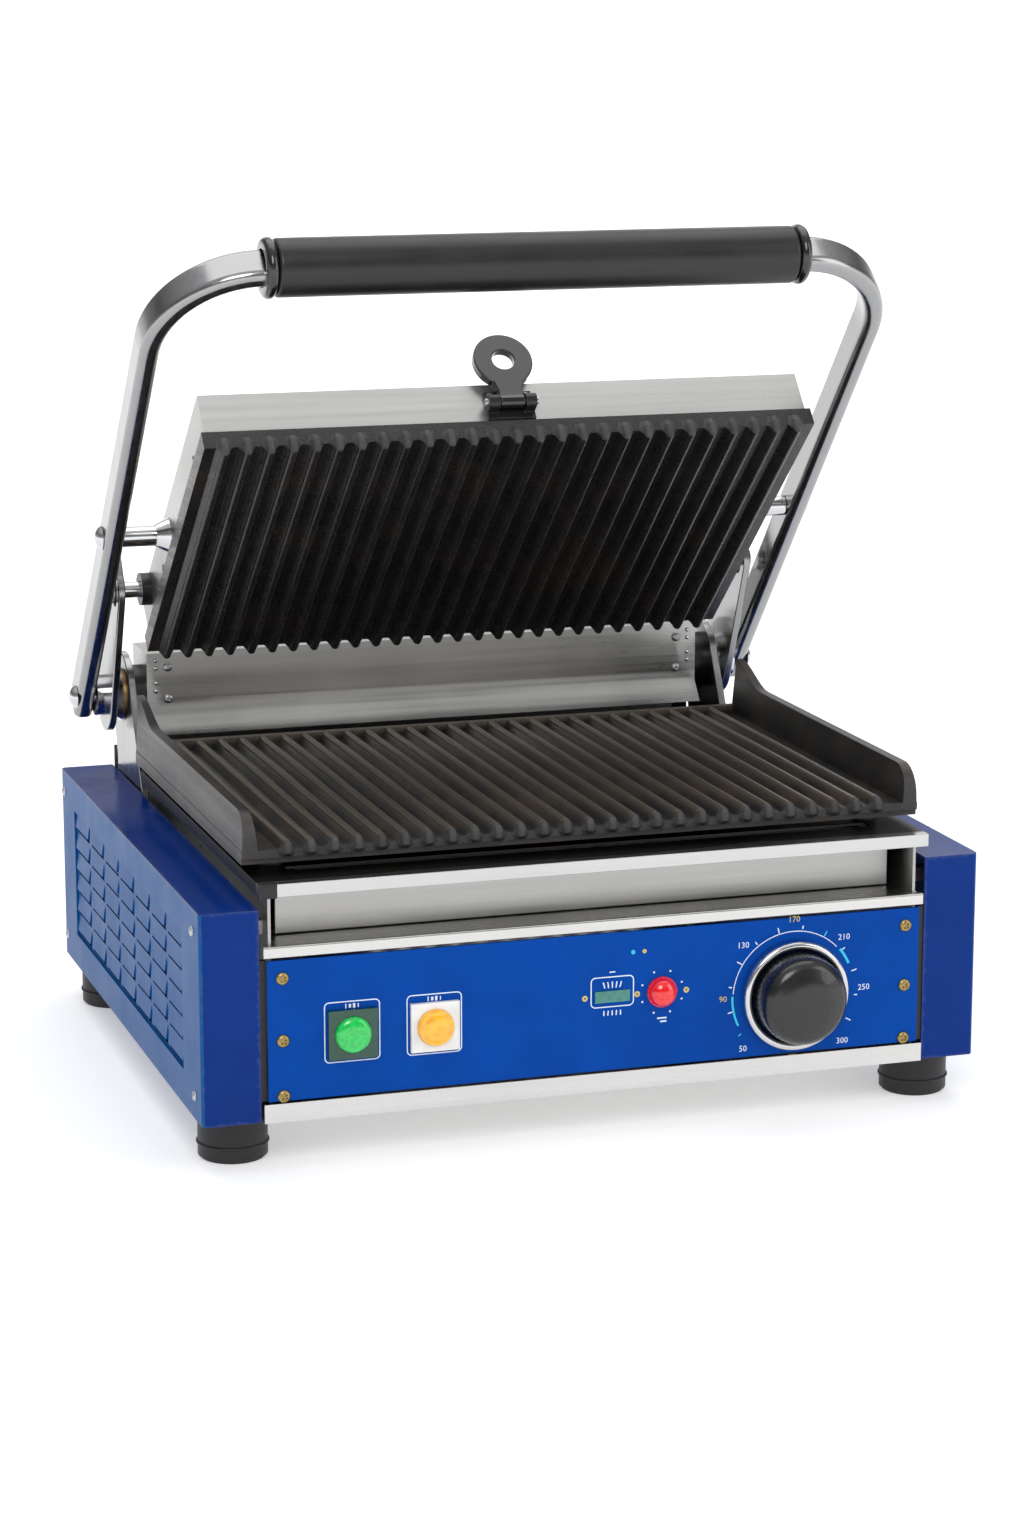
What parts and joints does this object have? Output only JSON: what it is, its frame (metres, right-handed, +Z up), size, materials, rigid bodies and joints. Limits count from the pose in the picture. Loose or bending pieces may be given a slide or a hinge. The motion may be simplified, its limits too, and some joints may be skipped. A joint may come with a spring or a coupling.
{
  "type": "panini press",
  "caption": "Electric contact grill with a ribbed cast lower plate, a floating ribbed upper plate on a sprung tube handle, a drip tray and blue side panels.",
  "frame": {"origin": "on the table under the middle of the base, at the middle of the side panels' depth and of the overall width", "axes": "+X to the grill's left side seen from behind (the right side seen from the front), +Y to the back, +Z up; the control panel faces -Y"},
  "size_m": [0.4124, 0.398, 0.4468],
  "materials": {
    "blue_paint": "gloss",
    "panel_blue": "satin",
    "stainless": "brushed",
    "polished_steel": "polished",
    "chrome": "polished",
    "cast_iron": "satin black",
    "black_rubber": "satin",
    "black_plastic": "matt",
    "gloss_black": "gloss",
    "grip_black": "satin",
    "brass": "dull",
    "zinc": "plated",
    "bronze": "sintered",
    "element_steel": "oxidised",
    "shield_aluminium": "mill",
    "phenolic": "matt",
    "spring_steel": "oiled",
    "dark_green": "gloss",
    "green_plastic": "gloss",
    "orange_plastic": "gloss",
    "white_plastic": "gloss",
    "red_lens": "gloss",
    "teal_window": "gloss"
  },
  "bodies": {
    "base": {"chassis": "stainless", "bottom_plate": "stainless", "side_panel_left": "blue_paint", "side_panel_right": "blue_paint", "rear_panel": "stainless", "top_deck": "polished_steel", "tray_shelf": "stainless", "control_panel": "panel_blue", "panel_screws": "brass", "side_screws": "zinc", "foot_front_left": "black_rubber", "foot_front_right": "black_rubber", "foot_rear_left": "black_rubber", "foot_rear_right": "black_rubber", "foot_screws": "zinc", "lower_plate": "cast_iron", "lower_element": "element_steel", "heat_shield": "shield_aluminium", "plate_posts": "zinc", "thermostat": "phenolic", "knob_bezel": "chrome", "green_switch": "dark_green", "orange_switch": "white_plastic", "lamp_lens": "red_lens", "lamp_holder": "white_plastic", "display_window": "teal_window", "terminal_block": "white_plastic", "cable_gland": "black_plastic", "upright_left": "polished_steel", "upright_right": "polished_steel", "upright_bolts": "zinc", "axle_bushes": "bronze", "spring_housing": "stainless", "housing_screws": "zinc", "spring_left": "spring_steel", "spring_right": "spring_steel", "spring_hubs": "black_plastic"},
    "handle": {"handle_tube": "chrome", "grip": "grip_black", "grip_caps": "black_plastic", "axle": "chrome", "axle_bolts": "chrome", "axle_collars": "chrome", "swing_link_left": "polished_steel", "swing_link_right": "polished_steel"},
    "upper_grill": {"upper_cover": "stainless", "upper_plate": "cast_iron", "upper_element": "element_steel", "pivot_rods": "chrome", "pivot_bolts": "chrome", "rear_studs": "chrome", "stud_bushes": "black_plastic", "latch_bracket": "gloss_black", "latch_pin": "zinc", "cover_screws": "zinc"},
    "latch": {"latch_tab": "gloss_black"},
    "knob": {"knob": "gloss_black"},
    "green_button": {"green_button": "green_plastic"},
    "orange_button": {"orange_button": "orange_plastic"},
    "drip_tray": {"drip_tray": "stainless"}
  },
  "joints": [
    {"name": "handle_hinge", "type": "hinge", "parent": "base", "child": "handle", "pos_m": [0, 0.148, 0.177], "axis": [1, 0, 0], "range_deg": [0, 45], "stiffness_Nm_per_rad": 5, "springref_deg": -103.13},
    {"name": "plate_tilt", "type": "hinge", "parent": "handle", "child": "upper_grill", "pos_m": [0, 0.06428, 0.27918], "axis": [1, 0, 0], "range_deg": [-3.51, 0]},
    {"name": "latch_hinge", "type": "hinge", "parent": "upper_grill", "child": "latch", "pos_m": [0, -0.02613, 0.35507], "axis": [1, 0, 0], "range_deg": [0, 110]},
    {"name": "knob_turn", "type": "hinge", "parent": "base", "child": "knob", "pos_m": [0.103, -0.19, 0.066], "axis": [0, 1, 0], "range_deg": [0, 300]},
    {"name": "green_press", "type": "slide", "parent": "base", "child": "green_button", "axis": [0, 1, 0], "range_m": [0, 0.003], "stiffness_N_per_m": 300, "springref_m": -0.001},
    {"name": "orange_press", "type": "slide", "parent": "base", "child": "orange_button", "axis": [0, 1, 0], "range_m": [0, 0.003], "stiffness_N_per_m": 300, "springref_m": -0.001},
    {"name": "tray_slide", "type": "slide", "parent": "base", "child": "drip_tray", "axis": [0, -1, 0], "range_m": [0, 0.15]}
  ],
  "couplings": [
    {"joint": "plate_tilt", "follows": "handle_hinge", "ratio": -0.078}
  ]
}
